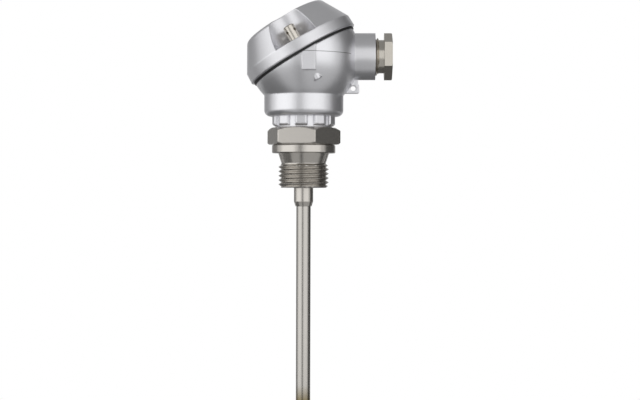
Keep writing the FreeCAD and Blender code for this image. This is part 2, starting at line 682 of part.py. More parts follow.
def gland_screw():
    """The pressure screw: thread, turned neck and hexagon, with the cable's hole through it."""
    body = new_body("gland_screw")
    start = seal_seat + s.seal_length + s.washer_height + s.washer_gap * 2
    neck = s.entry_reach + s.gland_gap_start
    hexagon = neck + s.gland_neck_length
    end = hexagon + s.gland_hexagon
    slope = s.gland_thread - s.gland_neck
    turned(body, "gland_turning", (
        (0, start),
        (s.gland_thread - slope, start),
        (s.gland_thread, start + slope),
        (s.gland_thread, neck - slope / 2),
        (s.gland_neck, neck),
        (s.gland_neck, hexagon),
        (0, hexagon),
    ))
    sketch = sketch_on(body, "gland_hexagon_outline", frame=place(0, 0, hexagon))
    draw_outline(sketch, hexagon_outline(s.gland_across, s.gland_turn + 90))
    pushed(body, "gland_hexagon", sketch, s.gland_hexagon)
    hexagon_chamfer(body, "gland_chamfer", end, s.gland_face, s.gland_across, True)
    bore = sketch_on(body, "gland_bore_outline", frame=place(0, 0, end))
    draw_circle(bore, 0, 0, s.gland_bore)
    pushed(body, "gland_bore", bore, end - start, cut=True)
    turned(body, "gland_mouth", (
        (s.gland_bore - s.gland_mouth, end),
        (s.gland_bore + s.gland_mouth, end),
        (s.gland_bore - s.gland_mouth, end - s.gland_mouth * 2),
    ), cut=True)
    body.setExpression("Placement", entry_frame())
    return body


def process_fitting():
    """The turned fitting: nipple, hexagon, collar, relief, thread, spigot and weld."""
    body = new_body("process_fitting")
    bore = s.tube_radius + s.tube_slack
    edge = s.collar_edge
    groove = s.collar_radius - s.collar_groove_depth
    thread = s.thread_radius
    chamfer = s.thread_chamfer
    turned(body, "fitting_turning", (
        (0, -(s.spigot_end + s.weld_height)),
        (bore + s.weld_foot, -(s.spigot_end + s.weld_height)),
        (s.spigot_radius, -s.spigot_end),
        (s.spigot_radius, -s.thread_end),
        (thread - chamfer, -s.thread_end),
        (thread, chamfer - s.thread_end),
        (thread, -(s.thread_top + chamfer)),
        (s.relief_foot, -s.thread_top),
        (s.relief_foot, s.relief_land - s.thread_top),
        (s.relief_head, 0),
        (s.collar_radius - edge, 0),
        (s.collar_radius, edge),
        (s.collar_radius, s.collar_height - edge),
        (s.collar_radius - edge, s.collar_height),
        (groove, s.collar_height),
        (groove, hexagon_bottom),
        (s.nipple_radius, hexagon_bottom),
        (s.nipple_radius, nipple_top),
        (0, nipple_top),
    ))
    sketch = sketch_on(body, "hexagon_outline", frame=place(0, 0, hexagon_bottom))
    draw_outline(sketch, hexagon_outline(s.hexagon_across, s.hexagon_turn))
    pushed(body, "hexagon", sketch, s.hexagon_height)
    hexagon_chamfer(body, "top_chamfer", hexagon_top, s.hexagon_face, s.hexagon_across, True)
    hexagon_chamfer(body, "foot_chamfer", hexagon_bottom, s.hexagon_foot, s.hexagon_across, False)
    hole = sketch_on(body, "tube_bore_outline", frame=place(0, 0, nipple_top))
    draw_circle(hole, 0, 0, bore)
    pushed(body, "tube_bore", hole, nipple_top + s.spigot_end + s.weld_height, cut=True)
    return body


def stem_pieces():
    """The stem's tube with its welded tip, and the sealed sensor rod inside."""
    tube_end = s.tip_height - s.stem_length
    inner = s.tube_radius - s.tube_wall
    tube = flat_ring(
        "protection_tube", inner, s.tube_radius, tube_end, nipple_top - tube_end, place(0, 0, 0))
    tip = new_body("tube_tip")
    edge = s.tip_edge
    plug = inner - s.tip_slack
    turned(tip, "tip_turning", (
        (0, -s.stem_length),
        (s.tube_radius - edge, -s.stem_length),
        Arc(edge, s.tube_radius - edge, edge - s.stem_length),
        (s.tube_radius, edge - s.stem_length),
        (s.tube_radius, tube_end),
        (plug, tube_end),
        (plug, tube_end + s.tip_spigot),
        (0, tube_end + s.tip_spigot),
    ))
    rod = new_body("sensor_insert")
    rod_end = tube_end + s.tip_spigot + s.insert_end_gap
    turned(rod, "insert_turning", (
        (0, rod_end),
        (s.insert_radius, rod_end),
        (s.insert_radius, cup_top - s.cup_roof),
        (0, cup_top - s.cup_roof),
    ))
    return [tube, tip, rod]


def insert_flange():
    """The thin disc that carries the sensor rod under the terminal block."""
    body = new_body("insert_flange")
    disc = sketch_on(body, "flange_outline", frame=place(0, 0, floor_top))
    draw_circle(disc, 0, 0, flange_radius)
    draw_circle(disc, 0, 0, s.insert_radius + s.insert_slack)
    for side in (-1, 1):
        draw_circle(disc, s.fixing_circle * side, 0, s.fixing_radius + s.fixing_slack)
    pushed(body, "flange", disc, s.flange_height)
    return body


def lead_cup():
    """The potted cup where the leads leave the sensor rod."""
    body = new_body("lead_cup")
    bore = s.insert_radius + s.insert_slack
    turned(body, "cup_turning", (
        (bore, block_foot),
        (s.cup_radius, block_foot),
        (s.cup_radius, cup_top),
        (0, cup_top),
        (0, cup_top - s.cup_roof),
        (bore, cup_top - s.cup_roof),
    ))
    return body


def terminal_block():
    """The round ceramic block with pockets for four terminals and two fixing screws."""
    body = new_body("terminal_block")
    edge = s.block_edge
    turned(body, "block_turning", (
        (s.block_hole, block_foot),
        (block_radius, block_foot),
        (block_radius, block_top - edge),
        (block_radius - edge, block_top),
        (s.block_hole, block_top),
    ))
    ribs = sketch_on(body, "partition_outline", frame=place(0, 0, block_top))
    half = s.partition_width / 2
    for side in (-1, 1):
        near = s.partition_start * side
        far = s.partition_end * side
        draw_outline(ribs, box_outline(-half, half, near, far))
    pushed(body, "partitions", ribs, s.partition_height)
    for name, side in (("left", -1), ("right", 1)):
        centre = s.fixing_circle * side
        recess = sketch_on(body, f"recess_{name}_outline", frame=place(0, 0, block_top))
        draw_circle(recess, centre, 0, s.fixing_recess)
        pushed(body, f"recess_{name}", recess, s.fixing_recess_depth, cut=True)
        notch = sketch_on(body, f"notch_{name}_outline", frame=place(0, 0, block_top))
        outward = block_radius * side + edge * side
        draw_outline(notch, box_outline(centre, outward, -s.fixing_recess, s.fixing_recess))
        pushed(body, f"notch_{name}", notch, s.fixing_recess_depth, cut=True)
        hole = sketch_on(body, f"block_hole_{name}_outline", frame=place(0, 0, block_top))
        draw_circle(hole, centre, 0, s.fixing_radius + s.fixing_slack)
        pushed(body, f"block_hole_{name}", hole, s.block_height, cut=True)
    pockets = sketch_on(body, "terminal_pockets_outline", frame=place(0, 0, block_top))
    for x_side, y_side in TERMINALS:
        draw_outline(pockets, terminal_outline(x_side, y_side, s.terminal_slack))
    pushed(body, "terminal_pockets", pockets, s.terminal_depth, cut=True)
    return body


def terminal_outline(x_side, y_side, slack):
    """The box that a terminal fills in plan, with room round it if slack says so."""
    x = s.terminal_x * x_side
    y = s.terminal_y * y_side
    half_x = s.terminal_long / 2 + slack
    half_y = s.terminal_wide / 2 + slack
    return box_outline(x - half_x, x + half_x, y - half_y, y + half_y)


def terminal_set(number, x_side, y_side):
    """One terminal: the brass clamp, the saddle that holds the wire and the screw."""
    centre = (s.terminal_x * x_side, s.terminal_y * y_side)
    clamp = new_body(f"terminal_{number}")
    foot = block_top - s.terminal_depth
    sketch = sketch_on(clamp, f"clamp_{number}_outline", frame=place(0, 0, foot))
    draw_outline(sketch, terminal_outline(x_side, y_side, 0))
    pushed(clamp, f"clamp_{number}", sketch, s.terminal_depth + s.terminal_proud)
    hole = sketch_on(clamp, f"clamp_hole_{number}_outline", frame=place(0, 0, terminal_top))
    draw_circle(hole, *centre, s.terminal_screw + s.terminal_screw_slack)
    pushed(clamp, f"clamp_hole_{number}", hole, s.terminal_depth, cut=True)
    saddle = new_body(f"terminal_saddle_{number}")
    plate = sketch_on(
        saddle, f"saddle_{number}_outline", frame=place(0, 0, terminal_top + s.wire_gap))
    half = s.saddle_side / 2
    draw_outline(plate, box_outline(
        centre[0] - half, centre[0] + half, centre[1] - half, centre[1] + half))
    draw_circle(plate, *centre, s.terminal_screw + s.terminal_screw_slack)
    pushed(saddle, f"saddle_{number}", plate, s.saddle_height)
    seat = terminal_top + s.wire_gap + s.saddle_height + s.saddle_gap
    screw = small_screw(
        f"terminal_screw_{number}", s.terminal_screw, s.terminal_screw_length, s.terminal_head,
        s.terminal_head_height, place(*centre, seat))
    return [clamp, saddle, screw]


def small_screw(name, radius, length, head, head_height, frame):
    """A slotted cheese-head screw whose seat is at its own zero height."""
    body = new_body(name)
    edge = s.screw_edge
    turned(body, f"{name}_turning", (
        (0, -length),
        (radius - edge, -length),
        (radius, edge - length),
        (radius, 0),
        (head, 0),
        (head, head_height - edge),
        (head - edge, head_height),
        (0, head_height),
    ))
    slot_across(body, f"{name}_slot", head_height, s.terminal_slot, s.terminal_slot_depth, head + edge)
    body.setExpression("Placement", frame)
    return body


def block_fixings():
    """The two screws that hold block and flange to the housing's floor, and their lock washers."""
    pieces = []
    recess_floor = block_top - s.fixing_recess_depth
    seat = recess_floor + s.lock_washer_height
    for name, side in (("left", -1), ("right", 1)):
        x = s.fixing_circle * side
        pieces.append(small_screw(
            f"block_screw_{name}", s.fixing_radius, seat - floor_top + s.fixing_bite,
            s.fixing_head, s.fixing_head_height, place(x, 0, seat)))
        pieces.append(flat_ring(
            f"lock_washer_{name}", s.fixing_radius + s.fixing_slack, s.lock_washer_radius,
            size_of(0), s.lock_washer_height, place(x, 0, recess_floor)))
    return pieces


def lead(number, colour, x_side, y_side):
    """An insulated lead from the cup to its terminal, with its bare end under the saddle."""
    body = new_body(f"lead_{colour}_{number}")
    level = terminal_top + s.wire_gap / 2
    bend = s.lead_bend
    path = sketch_on(body, f"lead_{number}_path", "XZ_Plane")
    up = path.addGeometry(Part.LineSegment(
        FreeCAD.Vector(0, cup_top.value, 0), FreeCAD.Vector(0, (level - bend).value, 0)))
    centre = FreeCAD.Vector(bend.value, (level - bend).value, 0)
    circle = Part.Circle(centre, FreeCAD.Vector(0, 0, 1), bend.value)
    round_part = path.addGeometry(Part.ArcOfCircle(circle, math.pi / 2, math.pi))
    out = path.addGeometry(Part.LineSegment(
        FreeCAD.Vector(bend.value, level.value, 0),
        FreeCAD.Vector(s.lead_reach.value, level.value, 0)))
    path.addConstraint(Sketcher.Constraint("Coincident", up, 2, round_part, 2))
    path.addConstraint(Sketcher.Constraint("Coincident", round_part, 1, out, 1))
    tie_point(path, up, 1, 0, cup_top)
    tie_point(path, up, 2, 0, level - bend)
    tie_point(path, out, 1, bend, level)
    tie_point(path, out, 2, s.lead_reach, level)
    tie_radius(path, round_part, bend)
    section = sketch_on(body, f"lead_{number}_section", frame=place(0, 0, cup_top))
    draw_circle(section, 0, 0, s.lead_radius)
    pipe = body.newObject("PartDesign::AdditivePipe", f"lead_{number}_insulation")
    pipe.Profile = section
    pipe.Spine = path
    wire = sketch_on(body, f"wire_{number}_outline", "YZ_Plane", place(0, 0, s.lead_reach))
    draw_circle(wire, 0, level, s.wire_radius)
    pushed(body, f"wire_{number}", wire, s.wire_reach - s.lead_reach)
    straight_on = {(1, 1): s.lead_turn, (-1, 1): -s.lead_turn + 180,
                   (-1, -1): s.lead_turn + 180, (1, -1): -s.lead_turn}
    turn = straight_on[(x_side, y_side)]
    body.setExpression("Placement", place(s.lead_x * x_side, s.lead_y * y_side, 0, angle=turn))
    return body


def lid_frame(x, y, z):
    """A placement in the lid's frame: z along the lid's axis, y across, x up the slope."""
    x, y, z = size_of(x), size_of(y), size_of(z)
    along = x * cosine(s.lid_tilt) - z * sine(s.lid_tilt)
    up = x * sine(s.lid_tilt) + z * cosine(s.lid_tilt)
    return place(along, y, s.head_height + up, (0, 1, 0), -s.lid_tilt)


def entry_frame():
    """A placement on the cable entry's axis, z running outwards from the stem's axis."""
    return place(0, 0, entry_height, (0, 1, 0), 90)


def check_and_save(pieces):
    """Stops on a feature that failed or a shape that is not one sound solid, then writes the files."""
    for item in doc.Objects:
        bad = [state for state in item.State if state in ("Invalid", "Error")]
        if bad:
            raise RuntimeError(f"{item.Name} did not recompute: {bad}")
    os.makedirs("parts", exist_ok=True)
    for piece in pieces:
        shape = piece.Shape
        if shape.isNull() or not shape.isValid() or len(shape.Solids) != 1:
            raise RuntimeError(f"{piece.Label} is not one valid solid")
        shape.exportStep(f"parts/{piece.Label}.step")
    print(f"{len(pieces)} pieces written")


doc = FreeCAD.newDocument("rtd_probe")
s = Sizes(SIZES)
SIDES = (("front", -1), ("rear", 1))
TERMINALS = ((-1, -1), (1, -1), (-1, 1), (1, 1))

# Levels that several pieces share, measured up from the sealing face
hexagon_bottom = s.collar_height + s.collar_groove
hexagon_top = hexagon_bottom + s.hexagon_height
floor_top = s.base_bottom + s.base_floor
entry_height = s.head_height - s.entry_drop
nipple_top = floor_top - s.nipple_gap
block_foot = floor_top + s.flange_height
block_top = block_foot + s.block_height
cup_top = block_foot + s.cup_height
terminal_top = block_top + s.terminal_proud
seal_seat = s.entry_reach - s.entry_depth
ring_foot = s.gasket_thickness / 2 + s.ring_lift

# Radii and distances that several pieces share
bowl_inner = s.bowl_radius - s.bowl_wall
base_inner = s.base_radius - s.bowl_wall
entry_root = bowl_inner - s.entry_collar
screw_circle = s.bowl_radius - s.screw_inset
pocket_centre = screw_circle + s.pocket_offset
gasket_radius = s.bowl_radius + s.gasket_proud
rim_radius = gasket_radius + s.rim_proud
block_radius = base_inner - s.block_slack
flange_radius = block_radius - s.flange_step

pieces = [head_housing(), head_lid(), lid_gasket()]
for name, side in SIDES:
    pieces.append(lid_screw(name, side))
    ring_inner = s.screw_neck + s.screw_slack
    pieces.append(flat_ring(
        f"retaining_ring_{name}", ring_inner, ring_inner + s.ring_width, ring_foot,
        s.ring_height, lid_frame(0, screw_circle * side, 0)))
pieces.append(process_fitting())
pieces.extend(stem_pieces())
seal_inner = s.nipple_radius + s.thread_slack
pieces.append(flat_ring(
    "neck_seal", seal_inner, seal_inner + s.neck_seal_width, hexagon_top, s.neck_seal_height,
    place(0, 0, 0)))
seal_outer = s.gland_thread - s.seal_slack
pieces.append(flat_ring(
    "gland_seal", s.seal_bore, seal_outer, seal_seat, s.seal_length, entry_frame()))
washer_foot = seal_seat + s.seal_length + s.washer_gap
pieces.append(flat_ring(
    "gland_washer", s.washer_bore, seal_outer, washer_foot, s.washer_height, entry_frame()))
pieces.append(gland_screw())
pieces.extend((insert_flange(), lead_cup(), terminal_block()))
pieces.extend(block_fixings())
for number, (x_side, y_side) in enumerate(TERMINALS, start=1):
    pieces.extend(terminal_set(number, x_side, y_side))
    colour = "red" if x_side < 0 else "white"
    pieces.append(lead(number, colour, x_side, y_side))

doc.recompute()
check_and_save(pieces)
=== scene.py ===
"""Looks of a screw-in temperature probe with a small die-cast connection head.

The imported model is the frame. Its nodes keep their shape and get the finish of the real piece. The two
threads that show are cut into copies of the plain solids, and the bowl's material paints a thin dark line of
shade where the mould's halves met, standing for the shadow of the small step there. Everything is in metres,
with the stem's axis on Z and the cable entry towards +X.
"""

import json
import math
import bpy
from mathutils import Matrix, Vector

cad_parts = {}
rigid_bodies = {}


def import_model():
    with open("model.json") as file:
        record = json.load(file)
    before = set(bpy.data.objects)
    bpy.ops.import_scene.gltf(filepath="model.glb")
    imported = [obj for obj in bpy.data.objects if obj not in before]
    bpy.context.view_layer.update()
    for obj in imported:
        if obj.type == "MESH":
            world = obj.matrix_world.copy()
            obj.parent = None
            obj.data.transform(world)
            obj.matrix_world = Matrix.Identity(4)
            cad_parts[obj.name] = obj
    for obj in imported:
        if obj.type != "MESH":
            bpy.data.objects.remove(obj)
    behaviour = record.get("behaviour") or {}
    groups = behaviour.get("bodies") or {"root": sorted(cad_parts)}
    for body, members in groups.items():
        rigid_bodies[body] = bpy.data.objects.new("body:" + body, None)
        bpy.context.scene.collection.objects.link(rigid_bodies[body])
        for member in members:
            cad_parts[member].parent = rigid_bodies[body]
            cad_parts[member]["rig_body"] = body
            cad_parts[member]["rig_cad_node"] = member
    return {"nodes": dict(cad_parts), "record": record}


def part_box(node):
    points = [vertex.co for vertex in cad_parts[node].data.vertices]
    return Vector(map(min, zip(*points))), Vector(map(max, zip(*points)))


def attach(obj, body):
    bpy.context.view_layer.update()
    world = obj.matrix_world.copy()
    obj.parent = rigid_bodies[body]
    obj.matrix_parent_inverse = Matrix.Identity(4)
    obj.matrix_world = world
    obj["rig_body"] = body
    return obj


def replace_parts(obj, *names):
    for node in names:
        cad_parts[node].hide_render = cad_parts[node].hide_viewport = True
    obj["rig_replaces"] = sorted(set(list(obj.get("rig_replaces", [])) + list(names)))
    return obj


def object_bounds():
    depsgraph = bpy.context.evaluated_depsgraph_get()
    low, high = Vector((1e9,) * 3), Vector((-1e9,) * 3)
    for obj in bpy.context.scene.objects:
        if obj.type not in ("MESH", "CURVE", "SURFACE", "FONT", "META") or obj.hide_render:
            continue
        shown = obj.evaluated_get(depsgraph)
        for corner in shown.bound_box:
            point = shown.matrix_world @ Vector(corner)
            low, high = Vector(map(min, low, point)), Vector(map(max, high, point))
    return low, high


bl_info = {
    "name": "Temperature probe finish",
    "version": (1, 0, 0),
    "blender": (4, 5, 0),
    "location": "3D View > Sidebar > Probe",
    "description": "Dresses the packed temperature probe in its real finishes and sets the studio round it",
    "category": "Object",
}

import bmesh
import bpy
from bpy.props import FloatProperty, FloatVectorProperty, IntProperty, PointerProperty, StringProperty
from mathutils import Matrix, Vector
from mathutils.kdtree import KDTree

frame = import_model()
nodes = frame["nodes"]
CAD_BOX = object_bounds()
MM = 0.001
# Edges of the threaded pieces that bend by more than this stay crisp.
THREAD_CORNER = math.radians(28)

# Upright cards: name, light where 1 is white, and two ends in degrees from the camera to the cable entry.
CARDS = (
    ("bank_left", 1.35, -86, -30),
    ("slit_left", 0.9, -30, -17),
    ("slit", 0.33, -17, -4),
    ("slit_right", 0.95, -4, 8),
    ("bank_right", 1.25, 8, 65),
    ("edge_right", 0.72, 65, 86),
    ("flag_right", 0.1, 86, 150),
    ("back", 0.5, 150, 210),
    ("flag_left", 0.28, -150, -108),
    ("edge_left", 0.82, -108, -86),
)


def linear(hex_colour):
    """An sRGB colour such as #a0b0c0 as the linear colour that a shader takes."""
    channels = [int(hex_colour[at:at + 2], 16) / 255 for at in (1, 3, 5)]
    return tuple(c / 12.92 if c <= 0.04045 else ((c + 0.055) / 1.055) ** 2.4 for c in channels)


def add(tree, kind, inputs=None, **settings):
    """Adds one node with its settings. Each input is a value, or an output socket to link from."""
    node = tree.nodes.new(kind)
    for name, value in settings.items():
        setattr(node, name, value)
    for name, value in (inputs or {}).items():
        if isinstance(value, bpy.types.NodeSocket):
            tree.links.new(value, node.inputs[name])
        else:
            node.inputs[name].default_value = value
    return node


def per_mm(size_mm):
    """The scale of a texture whose grain is that many millimetres, on coordinates in metres."""
    return 1 / (size_mm * MM)


class FinishColours(bpy.types.PropertyGroup):
    """Colours of the real pieces, as sRGB hex."""

    enamel: StringProperty(
        name="Enamel", description="Silver stove enamel of housing and lid", default="#e2e2e5")
    stainless: StringProperty(
        name="Stainless", description="Turned stainless steel", default="#c1bdb7")
    tube: StringProperty(
        name="Tube", description="Drawn and ground stainless tube", default="#b8b5b0")
    heat_tint: StringProperty(
        name="Heat tint", description="Straw tint round the stem's weld", default="#7f7250")
    nickel: StringProperty(
        name="Nickel", description="Nickel plating of gland and screws", default="#cbc6bd")
    rubber: StringProperty(
        name="Rubber", description="Moulded gasket and gland seal", default="#141414")
    brass: StringProperty(
        name="Brass", description="Milled terminals", default="#d3b165")
    spring: StringProperty(
        name="Spring steel", description="Retaining rings and lock washers", default="#8d8e92")
    steatite: StringProperty(
        name="Steatite", description="Fired terminal block", default="#e6dfce")
    fibre: StringProperty(
        name="Fibre", description="Vulcanised fibre seal", default="#7a3a2a")
    resin: StringProperty(
        name="Resin", description="Casting resin in the lead cup", default="#1d1d20")
    lead_red: StringProperty(
        name="Red lead", description="Red insulation", default="#b3201c")
    lead_white: StringProperty(
        name="White lead", description="White insulation", default="#e9e8e2")


class CastingSizes(bpy.types.PropertyGroup):
    """Soft edges of the die-castings, and the thin line of painted shade where the mould's halves met,
    standing for the shadow of the small step there.
    """

    edge_radius: FloatProperty(
        name="Edge", description="Rounding of the cast edges", default=0.7 * MM, unit="LENGTH")
    seam_height: FloatProperty(
        name="Parting line", description="Height of the line on the bowl", default=40.1 * MM, unit="LENGTH")
    seam_half: FloatProperty(
        name="Parting line's half", description="Half the line's width", default=0.13 * MM, unit="LENGTH")
    seam_inner: FloatProperty(
        name="Inside the line", description="Nearer the stem's axis there is no line",
        default=22.8 * MM, unit="LENGTH")
    seam_outer: FloatProperty(
        name="Outside the line", description="Farther from the stem's axis there is no line",
        default=24.6 * MM, unit="LENGTH")
    seam_end: FloatProperty(
        name="Parting line's end", description="Towards the cable boss", default=19.5 * MM, unit="LENGTH")


class ThreadSizes(bpy.types.PropertyGroup):
    """Threads that show."""

    process_pitch: FloatProperty(
        name="Process pitch", description="G1/2 thread, 14 turns to the inch",
        default=25.4 / 14 * MM, unit="LENGTH")
    process_top: FloatProperty(
        name="Process thread's top", description="Below the sealing face", default=4.4 * MM, unit="LENGTH")
    process_end: FloatProperty(
        name="Process thread's end", description="Below the sealing face", default=14.4 * MM, unit="LENGTH")
    process_start: FloatProperty(
        name="Process thread's start", description="Lifts the turns along the axis",
        default=0.54 * MM, unit="LENGTH")
    process_radius: FloatProperty(
        name="Process thread's radius", description="Over the crests", default=10.4775 * MM, unit="LENGTH")
    gland_pitch: FloatProperty(
        name="Gland pitch", description="Pressure screw, M16 x 1.5", default=1.5 * MM, unit="LENGTH")
    gland_radius: FloatProperty(
        name="Gland thread's radius", description="Over the crests", default=8.0 * MM, unit="LENGTH")
    depth_share: FloatProperty(
        name="Depth", description="Thread's depth, a share of its pitch", default=0.64, subtype="FACTOR")
    land_share: FloatProperty(
        name="Land", description="Flat at crest and root, a share of the pitch",
        default=0.07, subtype="FACTOR")
    gland_shank: FloatProperty(
        name="Gland's shank", description="From the pressure screw's end to its neck",
        default=4.7 * MM, unit="LENGTH")
    run_out: FloatProperty(
        name="Run-out", description="Die past the thread's ends", default=0.3 * MM, unit="LENGTH")
    columns: IntProperty(name="Columns", description="Points round one turn", default=144)


class StudioSizes(bpy.types.PropertyGroup):
    """Camera, lamps and cards."""

    camera_place: FloatVectorProperty(
        name="Camera", description="Where the camera stands", default=(0.01547, -0.4903, -0.01253),
        unit="LENGTH")
    camera_aim: FloatVectorProperty(
        name="Aim", description="Point in the middle of the frame", default=(0.00686, 0.0, -0.01949),
        unit="LENGTH")
    camera_roll: FloatProperty(name="Roll", description="Camera's roll", default=0.003, unit="ROTATION")
    camera_lens: FloatProperty(name="Lens", description="Focal length in millimetres", default=66.18)
    floor_drop: FloatProperty(
        name="Floor", description="Floor below the stem's tip", default=0.3, unit="LENGTH")
    floor_half: FloatProperty(
        name="Floor's half", description="Half the floor's side", default=1.2, unit="LENGTH")
    dome_radius: FloatProperty(
        name="Dome", description="Cards round the object", default=2.4, unit="LENGTH")
    bank_foot: FloatProperty(
        name="Cards' foot", description="Height of the upright cards' lower edge",
        default=-0.75, unit="LENGTH")
    bank_head: FloatProperty(
        name="Cards' head", description="Height of the upright cards' upper edge", default=1.9, unit="LENGTH")
    skirt_foot: FloatProperty(
        name="Skirt's foot", description="Lower edge of the dim ring under the cards",
        default=-1.3, unit="LENGTH")
    table_drop: FloatProperty(
        name="Table", description="Level cards below the stem's tip", default=0.25, unit="LENGTH")
    table_reach: FloatProperty(
        name="Table's reach", description="Level cards' outer edge", default=1.15, unit="LENGTH")


def new_material(name, **sockets):
    """A material with one Principled shader, and the tree to add to."""
    material = bpy.data.materials.new(name)
    material.use_nodes = True
    tree = material.node_tree
    shader = tree.nodes["Principled BSDF"]
    for socket, value in sockets.items():
        shader.inputs[socket.replace("_", " ")].default_value = value
    return material, tree, shader


def finish_colour(name):
    """A colour of the panel's list, ready for a shader."""
    return (*linear(getattr(bpy.context.scene.probe_colours, name)), 1.0)


def shade(name, share):
    """A lighter or darker share of a finish's colour."""
    return [min(1.0, channel * share) for channel in finish_colour(name)[:3]] + [1.0]


def silver_stove_enamel(name="silver_stove_enamel", painted_seam_shade=False):
    """Silver stove enamel on a die-casting: soft metallic sheen, faint flake, a slight orange peel and soft
    edges. On the housing the colour is also darkened into a thin line of painted shade where the mould's
    halves met, standing for the shadow of the small step there. The flake is drawn coarser than the real one,
    which is too fine to show."""
    sizes = bpy.context.scene.probe_casting
    material, tree, shader = new_material(name, Metallic=0.9, Roughness=0.34)
    place = add(tree, "ShaderNodeTexCoord").outputs["Object"]
    flake = add(tree, "ShaderNodeTexNoise", {"Vector": place, "Scale": per_mm(0.35), "Detail": 2.0})
    tone = add(tree, "ShaderNodeMix", {"Factor": flake.outputs["Fac"]}, data_type="RGBA")
    for socket, share in (("A", 0.93), ("B", 1.05)):
        tone.inputs[socket].default_value = shade("enamel", share)
    colour = tone.outputs["Result"]
    peel = add(tree, "ShaderNodeTexNoise", {"Vector": place, "Scale": per_mm(1.6), "Detail": 3.0})
    # Painted shade: along the parting line the enamel's colour is darkened to about a third, standing for the
    # shadow of the small step there.
    if painted_seam_shade:
        line = parting_line_shade(tree, place)
        dark = add(tree, "ShaderNodeMix", {"Factor": line, "A": colour}, data_type="RGBA")
        dark.inputs["B"].default_value = shade("enamel", 0.35)
        colour = dark.outputs["Result"]
    tree.links.new(colour, shader.inputs["Base Color"])
    edge = add(tree, "ShaderNodeBevel", {"Radius": sizes.edge_radius}, samples=6)
    bump = add(tree, "ShaderNodeBump", {
        "Height": peel.outputs["Fac"], "Strength": 0.12, "Distance": 0.05 * MM,
        "Normal": edge.outputs["Normal"]})
    tree.links.new(bump.outputs["Normal"], shader.inputs["Normal"])
    return material


def parting_line_shade(tree, place):
    """1 on a thin level line round the bowl's outside, up to the cable boss, else 0: where the colour is
    darkened into painted shade, the shadow of the step at the mould's parting line.
    """
    sizes = bpy.context.scene.probe_casting
    spot = add(tree, "ShaderNodeSeparateXYZ", {"Vector": place})
    line = add(tree, "ShaderNodeMath", {
        0: spot.outputs["Z"], 1: sizes.seam_height, 2: sizes.seam_half}, operation="COMPARE")
    flat = add(tree, "ShaderNodeMapping", {"Vector": place, "Scale": (1.0, 1.0, 0.0)})
    reach = add(tree, "ShaderNodeVectorMath", {0: flat.outputs["Vector"]}, operation="LENGTH")
    for value, limit, kind in (
            (reach.outputs["Value"], sizes.seam_inner, "GREATER_THAN"),
            (reach.outputs["Value"], sizes.seam_outer, "LESS_THAN"),
            (spot.outputs["X"], sizes.seam_end, "LESS_THAN")):
        part = add(tree, "ShaderNodeMath", {0: value, 1: limit}, operation=kind)
        line = add(tree, "ShaderNodeMath", {0: line.outputs[0], 1: part.outputs[0]}, operation="MULTIPLY")
    return line.outputs[0]


def turned_stainless():
    """Stainless steel from the lathe: fine rings round the axis stretch the lamps' reflections, and broken
    edges catch the light, most of all the hexagon's corners above the collar. The rings are about as far
    apart as the lathe's feed."""
    material, tree, shader = new_material("turned_stainless", Metallic=1.0, Roughness=0.24)
    shader.inputs["Base Color"].default_value = finish_colour("stainless")
    place = add(tree, "ShaderNodeTexCoord").outputs["Object"]
    along = 20.0  # the rings hardly change on their way round
    rings = add(tree, "ShaderNodeMapping", {"Vector": place, "Scale": (along, along, per_mm(0.12))})
    noise = add(tree, "ShaderNodeTexNoise", {"Vector": rings.outputs["Vector"], "Scale": 1.0, "Detail": 2.0})
    height = add(tree, "ShaderNodeSeparateXYZ", {"Vector": place})
    collar_top = 3.2 * MM
    width = add(tree, "ShaderNodeMapRange", {
        "Value": height.outputs["Z"], "From Min": collar_top, "From Max": collar_top + 0.4 * MM,
        "To Min": 0.3 * MM, "To Max": 0.85 * MM})
    edge = add(tree, "ShaderNodeBevel", {"Radius": width.outputs["Result"]}, samples=8)
    bump = add(tree, "ShaderNodeBump", {
        "Height": noise.outputs["Fac"], "Strength": 0.18, "Distance": 0.02 * MM,
        "Normal": edge.outputs["Normal"]})
    tree.links.new(bump.outputs["Normal"], shader.inputs["Normal"])
    return material


def drawn_stainless_tube():
    """Drawn and ground stainless tube: streaks along its length, drawn coarser than the real grinding marks,
    and a straw tint where the tip was welded."""
    material, tree, shader = new_material("drawn_stainless_tube", Metallic=1.0, Roughness=0.2)
    place = add(tree, "ShaderNodeTexCoord").outputs["Object"]
    height = add(tree, "ShaderNodeSeparateXYZ", {"Vector": place})
    tip = CAD_BOX[0].z
    tinted = 7 * MM
    reach = add(tree, "ShaderNodeMapRange", {
        "Value": height.outputs["Z"], "From Min": tip, "From Max": tip + tinted,
        "To Min": 1.0, "To Max": 0.0})
    tone = add(tree, "ShaderNodeMix", {"Factor": reach.outputs["Result"]}, data_type="RGBA")
    tone.inputs["A"].default_value = finish_colour("tube")
    tone.inputs["B"].default_value = finish_colour("heat_tint")
    tree.links.new(tone.outputs["Result"], shader.inputs["Base Color"])
    streak = per_mm(0.3)
    grain = add(tree, "ShaderNodeMapping", {"Vector": place, "Scale": (streak, streak, 40.0)})
    noise = add(tree, "ShaderNodeTexNoise", {"Vector": grain.outputs["Vector"], "Scale": 1.0, "Detail": 2.0})
    bump = add(tree, "ShaderNodeBump", {
        "Height": noise.outputs["Fac"], "Strength": 0.04, "Distance": 0.02 * MM})
    tree.links.new(bump.outputs["Normal"], shader.inputs["Normal"])
    return material


def plain_finish(name, colour, grain_mm, strength, **sockets):
    """A finish of one colour with a fine bump, for the small pieces."""
    material, tree, shader = new_material(name, **sockets)
    shader.inputs["Base Color"].default_value = finish_colour(colour)
    place = add(tree, "ShaderNodeTexCoord").outputs["Object"]
    noise = add(tree, "ShaderNodeTexNoise", {"Vector": place, "Scale": per_mm(grain_mm), "Detail": 3.0})
    bump = add(tree, "ShaderNodeBump", {
        "Height": noise.outputs["Fac"], "Strength": strength, "Distance": 0.04 * MM})
    tree.links.new(bump.outputs["Normal"], shader.inputs["Normal"])
    return material


